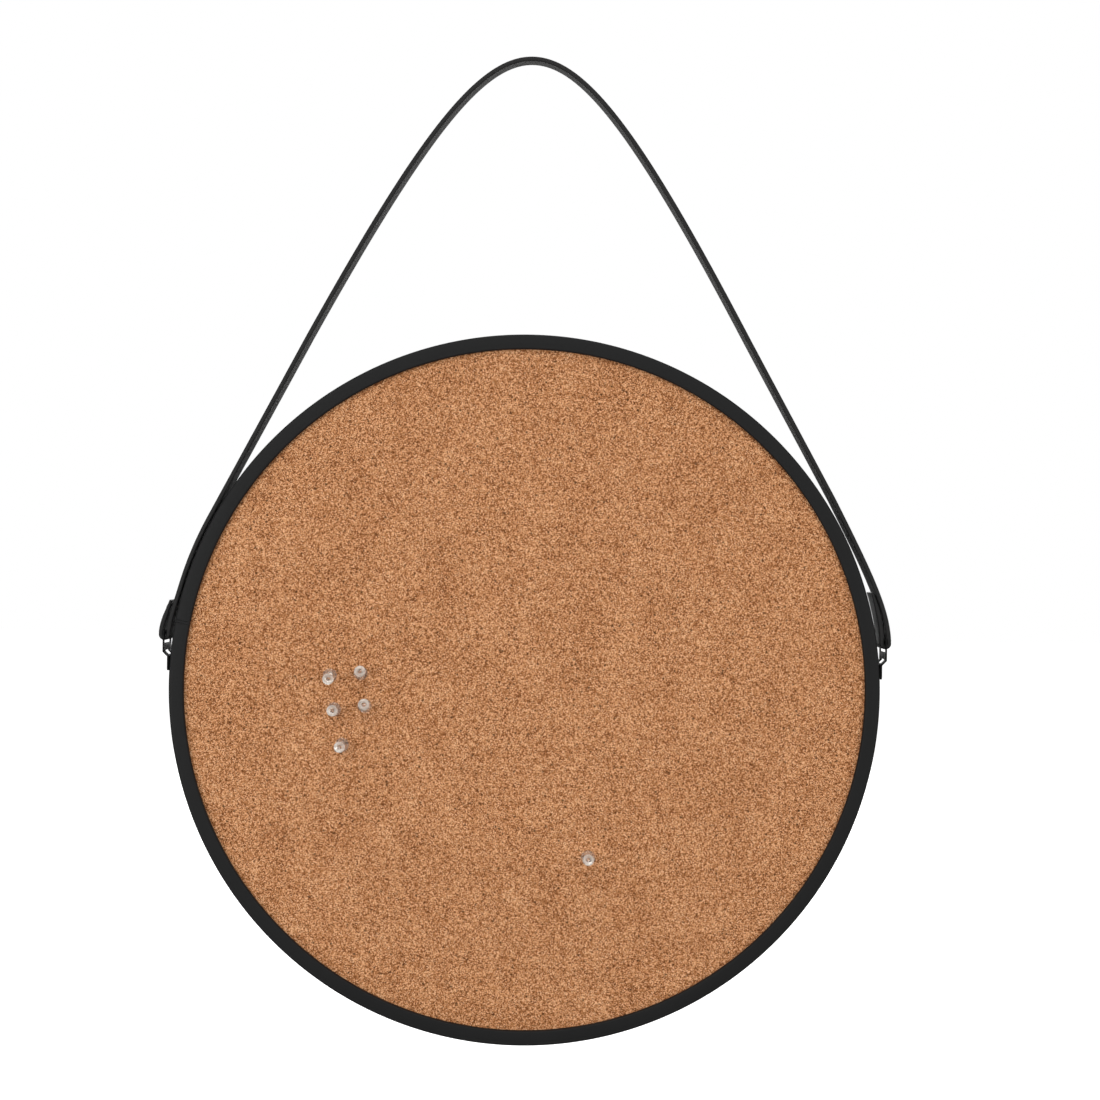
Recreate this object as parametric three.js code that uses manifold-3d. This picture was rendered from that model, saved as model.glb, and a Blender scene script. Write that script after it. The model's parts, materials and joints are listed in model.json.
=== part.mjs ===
// A round cork notice board in a black metal ring frame, hung from a leather strap that is
// looped through a hanger plate on each side. Six push pins are stuck in the cork.
// Millimetres, +Z up, the cork faces -Y, the wall side is +Y.
// The origin is the hook seat: the underside of the strap at the middle of its crown.
import * as THREE from 'three';
import { mergeVertices } from 'three/addons/utils/BufferGeometryUtils.js';
import Module from 'manifold-3d';

const wasm = await Module();
wasm.setup();

// ---- Driving dimensions ----

const GAP = 0.3; // clearance left between pieces that touch
const DEG = Math.PI / 180;

// Ring frame: a roll-formed channel whose face covers the cork's edge
const RING_R = 250;
const RING_DEPTH = 26;
const RING_WALL = 1.5;
const FACE_WIDTH = 10.3;
const LIP_DEPTH = 4;
const OUTER_CORNER_R = 1.2;
const INNER_CORNER_R = 1;
const RING_SEGMENTS = 96;
const RING_CENTRE_Z = -444;
const FRONT_Y = -RING_DEPTH / 2;
const REAR_Y = RING_DEPTH / 2;

// Frame joint: the two ends of the ring meet on the rib of a hidden key
const JOINT_ANGLE = 169.5 * DEG;
const JOINT_SLIT = 2.2;
const JOINT_RIB = 1.6;
const KEY_LENGTH = 40;
const KEY_THICK = 2.2;

// Discs inside the frame, front to back
const DISC_R = RING_R - RING_WALL - GAP;
const CORK_THICK = 4.5;
const CORE_THICK = 10.5;
const PANEL_THICK = 3;
const CORK_FRONT_Y = FRONT_Y + LIP_DEPTH + GAP;
const CORE_FRONT_Y = CORK_FRONT_Y + CORK_THICK + GAP;
const PANEL_FRONT_Y = CORE_FRONT_Y + CORE_THICK + GAP;
const PANEL_REAR_Y = PANEL_FRONT_Y + PANEL_THICK;

// Retaining tabs over the back panel, and the small screws that hold them
const TAB_COUNT = 6;
const TAB_FIRST_ANGLE = 30 * DEG;
const TAB_THICK = 1;
const TAB_WIDTH = 14;
const TAB_REACH = 16;
const TAB_UPRIGHT = 2.6;
const TAB_SCREW_INSET = 10;
const TAB_SCREW_SHANK_R = 1.5;
const TAB_SCREW_LENGTH = 10;
const TAB_SCREW_HEAD_R = 3;
const TAB_SCREW_HEAD_H = 1.3;
const TAB_SCREW_POINT = 2;
const TAB_SCREW_RIM_H = 0.6;
const TAB_SCREW_DOME_INSET = 0.8;
const TAB_SCREW_RECESS = { span: 3.2, width: 0.7, depth: 0.7 };

// Hanger plate: a foot on the rim, a joggle outwards with a window in it, and a slot for the
// strap above. Heights are from the ring's centre.
const PLATE_THICK = 1;
const PLATE_WIDTH = RING_DEPTH;
const PLATE_FOOT_X = RING_R + 0.25;
const PLATE_BAR_X = 253.5;
const PLATE_BOTTOM_Z = 10.6;
const PLATE_BEND_Z = 20.9;
const PLATE_TOP_Z = 39.3;
const PLATE_CORNER_R = 2;
const PLATE_OPENING_R = 0.8;
const WINDOW = { halfWidth: 6.6, bottomZ: 21.6, topZ: 24.7 };
const SLOT = { halfWidth: 10.6, bottomZ: 29.7, topZ: 35.3 };

// Countersunk screw through the plate's foot and the rim, and the nut inside the rim
const SCREW_Z = 15.6;
const SCREW_R = 1.5;
const SCREW_HEAD_R = 2.8;
const SCREW_LENGTH = 8;
const SCREW_POINT_CHAMFER = 0.4;
const SOCKET_R = 1.1;
const SOCKET_DEPTH = 1;
const NUT_ACROSS_FLATS = 5.5;
const NUT_THICK = 2.4;
const NUT_OUTER_X = 247.5;
const NUT_POCKET = { width: 10, depth: 6 };

// Strap
const STRAP_WIDTH = 20;
const STRAP_THICK = 3;
const CROWN_TOP_Z = STRAP_THICK / 2 - RING_CENTRE_Z; // strap's middle layer, above the centre
const CROWN_STEEPNESS = 2.07;
const CROWN_ROUNDING = 78;
const CROWN_HALF_WIDTH = 155;
const CROWN_TIP_ANGLE = 5.5 * DEG; // the crown's front edge rolls down over the hook
const CROWN_TIP_REACH = 95;
const HUG_R = 253; // the left side lies round the rim at this radius
const HUG_END_ANGLE = 16 * DEG;
const LOOP_R = 2.5;
const LOOP_X = PLATE_BAR_X + PLATE_THICK / 2;
const LOOP_Z = 35.8;

// Push pins: a moulded head on a steel needle
const PIN_HEAD_H = 12.5;
const PIN_FLANGE_R = 4.9;
const PIN_NEEDLE_R = 0.55;
const PIN_NEEDLE_OUT = 10.5;
const PIN_NEEDLE_IN = 6;
const PIN_NEEDLE_TAPER = 2.5;
const PIN_CLEAR_R = PIN_NEEDLE_R + GAP;
// Each pin's place on the cork, from the ring's centre, and how far its head leans, in degrees
const PINS = [
  { x: -137, z: 8.5, leanX: 0, leanZ: -9.5 },
  { x: -115.5, z: 10.5, leanX: 3.5, leanZ: 8.5 },
  { x: -134, z: -15.5, leanX: 0.5, leanZ: 0 },
  { x: -112.5, z: -12.5, leanX: 3.5, leanZ: 8 },
  { x: -128, z: -40.5, leanX: -2, leanZ: -2 },
  { x: 46.5, z: -117.5, leanX: 0, leanZ: 0 },
];

// ---- Materials ----

const material = (color, roughness, metalness = 0) =>
  new THREE.MeshStandardMaterial({ color, roughness, metalness });
const BLACK_STEEL = material(0x2e2f30, 0.62, 0.3);
const BARE_STEEL = material(0xa9abae, 0.35, 0.9);
const CORK = material(0xc28f60, 0.95);
const SOFTBOARD = material(0x8c7a62, 0.95);
const HARDBOARD = material(0x6a4a31, 0.8);
const LEATHER = material(0x353534, 0.7);
const CLEAR_PLASTIC = material(0xdfe3e6, 0.2);

// ---- Solids ----

// A closed geometry as a solid for cutting and joining; a geometry wound inwards is turned out
function solidOf(geometry) {
  const bare = geometry.clone();
  bare.deleteAttribute('normal');
  bare.deleteAttribute('uv');
  const merged = mergeVertices(bare, 1e-4);
  const triangles = [];
  for (let i = 0; i < merged.index.count; i += 3) {
    const [a, b, c] = [0, 1, 2].map((k) => merged.index.getX(i + k));
    if (a !== b && b !== c && c !== a) triangles.push(a, b, c);
  }
  const positions = merged.attributes.position.array;
  if (signedVolume(positions, triangles) < 0) triangles.reverse();
  return new wasm.Manifold(new wasm.Mesh({
    numProp: 3,
    vertProperties: new Float32Array(positions),
    triVerts: new Uint32Array(triangles),
  }));
}

function signedVolume(positions, triangles) {
  const corner = (i) => new THREE.Vector3().fromArray(positions, triangles[i] * 3);
  let total = 0;
  for (let i = 0; i < triangles.length; i += 3) {
    total += corner(i).dot(corner(i + 1).cross(corner(i + 2))) / 6;
  }
  return total;
}

function geometryOf(solid) {
  const mesh = solid.getMesh();
  const geometry = new THREE.BufferGeometry();
  geometry.setAttribute('position', new THREE.BufferAttribute(mesh.vertProperties, 3));
  geometry.setIndex(new THREE.BufferAttribute(mesh.triVerts, 1));
  geometry.computeVertexNormals();
  return geometry;
}

// A geometry with other geometries cut out of it
function cut(geometry, ...tools) {
  return geometryOf(tools.reduce((solid, tool) => solid.subtract(solidOf(tool)), solidOf(geometry)));
}

// An outline drawn in the X-Z plane, thickened along Y from y0 to y1
function slab(shape, y0, y1, curveSegments = RING_SEGMENTS) {
  return new THREE.ExtrudeGeometry(shape, { depth: y1 - y0, bevelEnabled: false, curveSegments })
    .rotateX(Math.PI / 2)
    .translate(0, y1, 0);
}

// A body of revolution about Y, from an outline of [radius, y] points
function turned(outline, segments) {
  return new THREE.LatheGeometry(outline.map(([r, y]) => new THREE.Vector2(r, y)), segments);
}

function box(width, depth, height) {
  return new THREE.BoxGeometry(width, depth, height);
}

function rodAlongX(radius, x0, x1, z, segments = 16) {
  return new THREE.CylinderGeometry(radius, radius, x1 - x0, segments)
    .rotateZ(Math.PI / 2)
    .translate((x0 + x1) / 2, 0, z);
}

function rodAlongY(radius, y0, y1, segments = 12) {
  return new THREE.CylinderGeometry(radius, radius, y1 - y0, segments)
    .translate(0, (y0 + y1) / 2, 0);
}

function roundedRectangle(x0, y0, x1, y1, r) {
  const shape = new THREE.Shape();
  shape.absarc(x1 - r, y0 + r, r, -Math.PI / 2, 0);
  shape.absarc(x1 - r, y1 - r, r, 0, Math.PI / 2);
  shape.absarc(x0 + r, y1 - r, r, Math.PI / 2, Math.PI);
  shape.absarc(x0 + r, y0 + r, r, Math.PI, 1.5 * Math.PI);
  return shape;
}

// Swings a geometry that was built beside +X round the board's axis, to this angle from +X
function atAngle(geometry, angle) {
  return geometry.rotateY(-angle);
}

function piece(name, geometry, pieceMaterial) {
  const mesh = new THREE.Mesh(geometry, pieceMaterial);
  mesh.name = name;
  return mesh;
}

// ---- Frame ----

// The channel's section as [radius, y]: face to the front, outer wall, and a lip on the cork
function ringSection() {
  const faceInner = RING_R - FACE_WIDTH;
  const section = new THREE.Shape();
  section.moveTo(RING_R, REAR_Y);
  section.lineTo(RING_R, FRONT_Y + OUTER_CORNER_R);
  section.absarc(RING_R - OUTER_CORNER_R, FRONT_Y + OUTER_CORNER_R, OUTER_CORNER_R, 0, -Math.PI / 2, true);
  section.absarc(faceInner + INNER_CORNER_R, FRONT_Y + INNER_CORNER_R, INNER_CORNER_R,
    -Math.PI / 2, -Math.PI, true);
  section.lineTo(faceInner, FRONT_Y + LIP_DEPTH);
  section.lineTo(faceInner + RING_WALL, FRONT_Y + LIP_DEPTH);
  section.lineTo(faceInner + RING_WALL, FRONT_Y + RING_WALL);
  section.lineTo(RING_R - RING_WALL, FRONT_Y + RING_WALL);
  section.lineTo(RING_R - RING_WALL, REAR_Y);
  section.lineTo(RING_R, REAR_Y);
  return section.getPoints(3).map((p) => [p.x, p.y]);
}

function frameRing() {
  const slit = box(4 * FACE_WIDTH, 2 * RING_DEPTH, JOINT_SLIT).translate(RING_R, 0, 0);
  const screwHole = (x) => rodAlongX(SCREW_R + GAP, x - FACE_WIDTH / 2, x + FACE_WIDTH / 2, SCREW_Z);
  return cut(turned(ringSection(), RING_SEGMENTS), atAngle(slit, JOINT_ANGLE),
    screwHole(-RING_R), screwHole(RING_R));
}

// A curved key inside the channel, with a rib that fills the joint flush with the ring
function frameJointKey() {
  const innerR = RING_R - FACE_WIDTH;
  const keyInner = innerR + RING_WALL + GAP;
  const keyOuter = RING_R - RING_WALL - GAP;
  const keyFront = FRONT_Y + RING_WALL + GAP;
  const keyRear = keyFront + KEY_THICK;
  const ring = turned([[keyInner, keyFront], [keyOuter, keyFront], [keyOuter, keyRear],
    [keyInner, keyRear], [keyInner, keyFront]], RING_SEGMENTS);
  const length = box(4 * FACE_WIDTH, RING_DEPTH, KEY_LENGTH).translate(RING_R, 0, 0);
  const body = solidOf(ring).intersect(solidOf(atAngle(length, JOINT_ANGLE)));
  const rib = new THREE.Shape();
  rib.moveTo(innerR, FRONT_Y);
  rib.lineTo(RING_R, FRONT_Y);
  rib.lineTo(RING_R, REAR_Y);
  rib.lineTo(RING_R - RING_WALL, REAR_Y);
  rib.lineTo(RING_R - RING_WALL, keyRear);
  rib.lineTo(innerR, keyRear);
  const ribGeometry = new THREE.ExtrudeGeometry(rib, { depth: JOINT_RIB, bevelEnabled: false })
    .translate(0, 0, -JOINT_RIB / 2);
  return geometryOf(body.add(solidOf(atAngle(ribGeometry, JOINT_ANGLE))));
}

// ---- Discs ----

function disc(frontY, rearY) {
  const outline = new THREE.Shape();
  outline.absarc(0, 0, DISC_R, 0, 2 * Math.PI);
  return slab(outline, frontY, rearY, RING_SEGMENTS);
}

// The slanted clearance hole of one needle, from in front of the cork to past its point
function needleHole(pin) {
  return rodAlongY(PIN_CLEAR_R, -2, PIN_NEEDLE_OUT + GAP, 12).applyMatrix4(pinMatrix(pin));
}

function tabAngles() {
  return Array.from({ length: TAB_COUNT }, (_, i) => TAB_FIRST_ANGLE + (i * 2 * Math.PI) / TAB_COUNT);
}

function tabScrewHoles() {
  const r = DISC_R - TAB_SCREW_INSET;
  const tipY = PANEL_REAR_Y + GAP + TAB_THICK + GAP - TAB_SCREW_LENGTH;
  return tabAngles().map((angle) =>
    atAngle(rodAlongY(TAB_SCREW_SHANK_R + GAP, tipY - GAP, REAR_Y).translate(r, 0, 0), angle));
}

function coreBoard() {
  const pocket = (side) => box(2 * NUT_POCKET.depth, RING_DEPTH, NUT_POCKET.width)
    .translate(side * DISC_R, 0, SCREW_Z);
  return cut(disc(CORE_FRONT_Y, CORE_FRONT_Y + CORE_THICK), pocket(-1), pocket(1),
    ...PINS.map(needleHole), ...tabScrewHoles());
}

// ---- Retaining tabs ----

// Built beside +X: a round-ended foot on the back panel and an upright against the rim
function retainingTab() {
  const y0 = PANEL_REAR_Y + GAP;
  const outerX = DISC_R - 0.1;
  const r = TAB_WIDTH / 2;
  const foot = new THREE.Shape();
  foot.moveTo(outerX, -r);
  foot.lineTo(outerX, r);
  foot.absarc(outerX - TAB_REACH + r, 0, r, Math.PI / 2, 1.5 * Math.PI);
  const upright = box(TAB_THICK, TAB_UPRIGHT, TAB_WIDTH)
    .translate(outerX - TAB_THICK / 2, y0 + TAB_UPRIGHT / 2, 0);
  const bent = solidOf(slab(foot, y0, y0 + TAB_THICK, 8)).add(solidOf(upright));
  const hole = rodAlongY(TAB_SCREW_SHANK_R + GAP, y0 - 1, REAR_Y)
    .translate(DISC_R - TAB_SCREW_INSET, 0, 0);
  return geometryOf(bent.subtract(solidOf(hole)));
}

// A pan head with a cross recess, its point towards the front
function tabScrew() {
  const seatY = PANEL_REAR_Y + GAP + TAB_THICK + GAP;
  const topY = seatY + TAB_SCREW_HEAD_H;
  const tipY = seatY - TAB_SCREW_LENGTH;
  const body = turned([[0, tipY], [TAB_SCREW_SHANK_R, tipY + TAB_SCREW_POINT],
    [TAB_SCREW_SHANK_R, seatY], [TAB_SCREW_HEAD_R, seatY], [TAB_SCREW_HEAD_R, seatY + TAB_SCREW_RIM_H],
    [TAB_SCREW_HEAD_R - TAB_SCREW_DOME_INSET, topY], [0, topY]], 12);
  const { span, width, depth } = TAB_SCREW_RECESS;
  const arms = [box(span, 2 * depth, width), box(width, 2 * depth, span)];
  return cut(body, ...arms.map((arm) => arm.translate(0, topY, 0)))
    .translate(DISC_R - TAB_SCREW_INSET, 0, 0);
}

// ---- Hanger hardware, built on the +X side ----

// The bent strip seen from the front, as an outline of constant thickness
function plateProfile() {
  const run = PLATE_BAR_X - PLATE_FOOT_X;
  const t = PLATE_THICK;
  const mitre = t * Math.tan(Math.PI / 8); // both bends are 45 degrees
  const profile = new THREE.Shape();
  profile.moveTo(PLATE_FOOT_X, PLATE_BOTTOM_Z);
  profile.lineTo(PLATE_FOOT_X + t, PLATE_BOTTOM_Z);
  profile.lineTo(PLATE_FOOT_X + t, PLATE_BEND_Z - mitre);
  profile.lineTo(PLATE_BAR_X + t, PLATE_BEND_Z - mitre + run);
  profile.lineTo(PLATE_BAR_X + t, PLATE_TOP_Z);
  profile.lineTo(PLATE_BAR_X, PLATE_TOP_Z);
  profile.lineTo(PLATE_BAR_X, PLATE_BEND_Z + run);
  profile.lineTo(PLATE_FOOT_X, PLATE_BEND_Z);
  return profile;
}

function plateOpening({ halfWidth, bottomZ, topZ }) {
  return roundedRectangle(-halfWidth, bottomZ, halfWidth, topZ, PLATE_OPENING_R);
}

function hangerPlate() {
  const half = PLATE_WIDTH / 2;
  const innerX = PLATE_FOOT_X - PLATE_THICK;
  const outerX = PLATE_BAR_X + 2 * PLATE_THICK;
  const face = roundedRectangle(-half, PLATE_BOTTOM_Z, half, PLATE_TOP_Z, PLATE_CORNER_R);
  face.holes.push(plateOpening(WINDOW), plateOpening(SLOT));
  const faceBlock = new THREE.ExtrudeGeometry(face,
    { depth: outerX - innerX, bevelEnabled: false, curveSegments: 4 })
    .rotateX(Math.PI / 2)
    .rotateZ(Math.PI / 2)
    .translate(innerX, 0, 0);
  const strip = slab(plateProfile(), -half, half);
  return geometryOf(solidOf(strip).intersect(solidOf(faceBlock)).subtract(solidOf(countersink())));
}

// The screw's clearance through the plate's foot, with its cone
function countersink() {
  const r = SCREW_R + GAP;
  const headR = SCREW_HEAD_R + GAP;
  const cone = headR - r;
  return turned([[0, -3 * cone], [r, -3 * cone], [r, -cone], [headR, 0], [headR, cone], [0, cone]], 16)
    .rotateZ(-Math.PI / 2)
    .translate(PLATE_FOOT_X + PLATE_THICK, 0, SCREW_Z);
}

// Countersunk screw with a hexagon socket, its head flush with the plate's foot
function hangerScrew() {
  const cone = SCREW_HEAD_R - SCREW_R;
  const body = turned([[0, -SCREW_LENGTH], [SCREW_R - SCREW_POINT_CHAMFER, -SCREW_LENGTH],
    [SCREW_R, -SCREW_LENGTH + SCREW_POINT_CHAMFER], [SCREW_R, -cone], [SCREW_HEAD_R, 0], [0, 0]], 16);
  const socket = new THREE.CylinderGeometry(SOCKET_R, SOCKET_R, 2 * SOCKET_DEPTH, 6);
  return cut(body, socket)
    .rotateZ(-Math.PI / 2)
    .translate(PLATE_FOOT_X + PLATE_THICK, 0, SCREW_Z);
}

function hangerNut() {
  const cornerR = NUT_ACROSS_FLATS / Math.sqrt(3);
  const hexagon = new THREE.CylinderGeometry(cornerR, cornerR, NUT_THICK, 6)
    .rotateZ(Math.PI / 2)
    .translate(NUT_OUTER_X - NUT_THICK / 2, 0, SCREW_Z);
  return cut(hexagon, rodAlongX(SCREW_R + GAP, NUT_OUTER_X - 2 * NUT_THICK, RING_R, SCREW_Z));
}

// ---- Strap ----

// The height of the crown's middle layer at a distance from the board's centre line
function crownZ(x) {
  return CROWN_TOP_Z - CROWN_STEEPNESS * (Math.hypot(x, CROWN_ROUNDING) - CROWN_ROUNDING);
}

// A smooth bend between two points, leaving each along its direction for the handle's length
function bend(start, startWay, startHandle, end, endWay, endHandle, steps) {
  const handle = (from, way, reach) => new THREE.Vector2(
    from.x + reach * Math.sin(way * DEG), from.y + reach * Math.cos(way * DEG));
  const curve = new THREE.CubicBezierCurve(start, handle(start, startWay, startHandle),
    handle(end, endWay, endHandle), end);
  return curve.getPoints(steps);
}

function arc(centre, radius, from, to, steps) {
  return Array.from({ length: steps + 1 }, (_, i) => {
    const angle = from + ((to - from) * i) / steps;
    return new THREE.Vector2(centre.x + radius * Math.cos(angle), centre.y + radius * Math.sin(angle));
  });
}

// The strap's middle layer from the tail on the right, over the crown, to the tail on the left.
// On the right the tail lies inside the strap; on the left it lies outside.
function strapCentreLine() {
  const point = (x, z) => new THREE.Vector2(x, z);
  const rightLoop = point(LOOP_X, LOOP_Z);
  const leftLoop = point(-LOOP_X, LOOP_Z);
  const rightTail = bend(point(244, 71.6), 158, 12, point(LOOP_X - LOOP_R, LOOP_Z), 0, 11, 6);
  const rightRise = bend(point(LOOP_X + LOOP_R, LOOP_Z), -2, 23, point(216, 137), 152.5, 62, 12);
  const crown = Array.from({ length: 41 }, (_, i) => {
    const x = CROWN_HALF_WIDTH * (1 - i / 20);
    return point(x, crownZ(x));
  });
  const crownEnd = crown[crown.length - 1];
  const hugStart = Math.atan2(crownEnd.y, -crownEnd.x) - Math.acos(HUG_R / crownEnd.length());
  const hug = arc(point(0, 0), HUG_R, Math.PI - hugStart, Math.PI - HUG_END_ANGLE, 4);
  const hugEnd = hug[hug.length - 1];
  const leftFall = bend(hugEnd, 180 + 16, 12, point(-LOOP_X + LOOP_R, LOOP_Z), 4, 10, 6);
  const leftTail = bend(point(-LOOP_X - LOOP_R, LOOP_Z), 0, 8, point(-249.9, 60), 196, 9, 5);
  return [
    ...rightTail.slice(0, -1),
    ...arc(rightLoop, LOOP_R, Math.PI, 2 * Math.PI, 8).slice(0, -1),
    ...rightRise,
    ...crown,
    ...hug,
    ...leftFall.slice(1, -1),
    ...arc(leftLoop, LOOP_R, 0, -Math.PI, 8).slice(0, -1),
    ...leftTail,
  ];
}

// Points at a distance to the left of a line, measured square to it
function offsetLine(line, distance) {
  const last = line.length - 1;
  const wayFrom = (i) => line[i + 1].clone().sub(line[i]).normalize();
  return line.map((p, i) => {
    const inWay = wayFrom(Math.max(i - 1, 0));
    const outWay = wayFrom(Math.min(i, last - 1));
    const way = inWay.add(outWay).normalize();
    const stretch = 1 / Math.max(way.dot(outWay), 0.5);
    return new THREE.Vector2(p.x - way.y * distance * stretch, p.y + way.x * distance * stretch);
  });
}

// Rolls the crown about its own middle, so that its front edge comes down over the hook
function tipCrown(geometry) {
  const position = geometry.attributes.position;
  for (let i = 0; i < position.count; i += 1) {
    const reach = Math.min(Math.abs(position.getX(i)) / CROWN_TIP_REACH, 1);
    const share = Math.cos((reach * Math.PI) / 2) ** 2;
    position.setZ(i, position.getZ(i) + position.getY(i) * Math.tan(CROWN_TIP_ANGLE) * share);
  }
  return geometry;
}

function strap() {
  const line = strapCentreLine();
  const outline = [...offsetLine(line, STRAP_THICK / 2), ...offsetLine(line, -STRAP_THICK / 2).reverse()];
  return tipCrown(slab(new THREE.Shape(outline), -STRAP_WIDTH / 2, STRAP_WIDTH / 2));
}

// ---- Push pins, built with the flange's underside at the origin and the head towards -Y ----

function pinMatrix({ x, z, leanX, leanZ }) {
  const turn = new THREE.Quaternion().setFromEuler(new THREE.Euler(-leanZ * DEG, 0, leanX * DEG));
  const lift = PIN_FLANGE_R * Math.sin(Math.hypot(leanX, leanZ) * DEG) + GAP;
  const place = new THREE.Vector3(x, CORK_FRONT_Y - lift, z);
  return new THREE.Matrix4().compose(place, turn, new THREE.Vector3(1, 1, 1));
}

function pinHead() {
  const h = PIN_HEAD_H;
  const outline = [[0, 0], [PIN_FLANGE_R, 0], [PIN_FLANGE_R, -1], [3.1, -2.2], [2.5, -4.2],
    [2.5, -6], [3.1, -8.4], [4, -10.4], [4, -h + 0.6], [3.5, -h], [2, -h], [0, -h + 0.7]];
  return cut(turned(outline, 18), rodAlongY(PIN_CLEAR_R, -PIN_NEEDLE_IN - GAP, 1));
}

function pinNeedle() {
  const r = PIN_NEEDLE_R;
  return turned([[0, -PIN_NEEDLE_IN], [r, -PIN_NEEDLE_IN], [r, PIN_NEEDLE_OUT - PIN_NEEDLE_TAPER],
    [0, PIN_NEEDLE_OUT]], 10);
}

// ---- Assembly ----

// A piece built on the +X side, or its mirror image on the other side
function sided(name, geometry, side, pieceMaterial) {
  const placed = side === 'left' ? geometryOf(solidOf(geometry).mirror([1, 0, 0])) : geometry;
  return piece(`${name}_${side}`, placed, pieceMaterial);
}

const group = new THREE.Group();
const board = new THREE.Group();
board.position.z = RING_CENTRE_Z;
group.add(board);

board.add(piece('frame_ring', frameRing(), BLACK_STEEL));
board.add(piece('frame_joint_key', frameJointKey(), BLACK_STEEL));
board.add(piece('cork_sheet',
  cut(disc(CORK_FRONT_Y, CORK_FRONT_Y + CORK_THICK), ...PINS.map(needleHole)), CORK));
board.add(piece('core_board', coreBoard(), SOFTBOARD));
board.add(piece('back_panel', cut(disc(PANEL_FRONT_Y, PANEL_REAR_Y), ...tabScrewHoles()), HARDBOARD));

tabAngles().forEach((angle, i) => {
  board.add(piece(`retaining_tab_${i + 1}`, atAngle(retainingTab(), angle), BARE_STEEL));
  board.add(piece(`tab_screw_${i + 1}`, atAngle(tabScrew(), angle), BARE_STEEL));
});

for (const side of ['left', 'right']) {
  board.add(sided('hanger_plate', hangerPlate(), side, BLACK_STEEL));
  board.add(sided('hanger_screw', hangerScrew(), side, BLACK_STEEL));
  board.add(sided('hanger_nut', hangerNut(), side, BARE_STEEL));
}
board.add(piece('strap', strap(), LEATHER));

PINS.forEach((pin, i) => {
  const pinGroup = new THREE.Group();
  pinMatrix(pin).decompose(pinGroup.position, pinGroup.quaternion, pinGroup.scale);
  pinGroup.add(piece(`pin_head_${i + 1}`, pinHead(), CLEAR_PLASTIC));
  pinGroup.add(piece(`pin_needle_${i + 1}`, pinNeedle(), BARE_STEEL));
  board.add(pinGroup);
});

export default group;
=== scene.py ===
"""The looks of a round cork notice board that hangs from a leather strap.

Metres, in the CAD frame: +Z up, the cork faces -Y, the origin is under the strap's crown.
"""

import json
import math
import random

import bmesh
import bpy
from mathutils import Matrix, Vector
from mathutils.geometry import delaunay_2d_cdt
from mathutils.noise import noise as perlin


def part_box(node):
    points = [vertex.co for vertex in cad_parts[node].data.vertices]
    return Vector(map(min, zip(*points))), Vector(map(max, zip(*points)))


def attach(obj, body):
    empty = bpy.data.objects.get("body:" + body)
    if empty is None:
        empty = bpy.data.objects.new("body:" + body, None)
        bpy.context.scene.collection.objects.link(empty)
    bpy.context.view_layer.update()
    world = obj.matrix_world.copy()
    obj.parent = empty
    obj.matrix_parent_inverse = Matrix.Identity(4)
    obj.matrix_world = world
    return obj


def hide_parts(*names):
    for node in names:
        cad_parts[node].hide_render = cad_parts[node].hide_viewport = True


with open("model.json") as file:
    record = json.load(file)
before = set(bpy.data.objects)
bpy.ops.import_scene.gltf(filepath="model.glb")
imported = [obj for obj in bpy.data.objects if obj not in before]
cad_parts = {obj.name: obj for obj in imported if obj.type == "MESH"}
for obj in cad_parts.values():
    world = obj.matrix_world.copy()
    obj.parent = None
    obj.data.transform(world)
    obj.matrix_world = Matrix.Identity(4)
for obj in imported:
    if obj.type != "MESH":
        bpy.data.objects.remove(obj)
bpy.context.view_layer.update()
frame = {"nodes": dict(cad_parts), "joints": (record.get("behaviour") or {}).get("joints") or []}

# ---- Sizes, worked out from the frame ----

MM = 0.001
ring_low, ring_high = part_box("frame_ring")
RING_R = (ring_high.x - ring_low.x) / 2
RING_Z = (ring_high.z + ring_low.z) / 2
FRONT_Y, REAR_Y = ring_low.y, ring_high.y
RING_WALL = 1.5 * MM
FACE_WIDTH = 10.3 * MM
LIP_DEPTH = 4 * MM
JOINT_ANGLE = math.radians(169.5)
JOINT_SLIT = 2.2 * MM

cork_low, cork_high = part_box("cork_sheet")
screw_low, screw_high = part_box("hanger_screw_right")
SCREW_Z = (screw_low.z + screw_high.z) / 2
SCREW_HEAD_X = screw_high.x

SIDES = {"left": -1, "right": 1}
PIN_COUNT = 6
TAB_COUNT = 6


# ---- Materials ----

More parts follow.
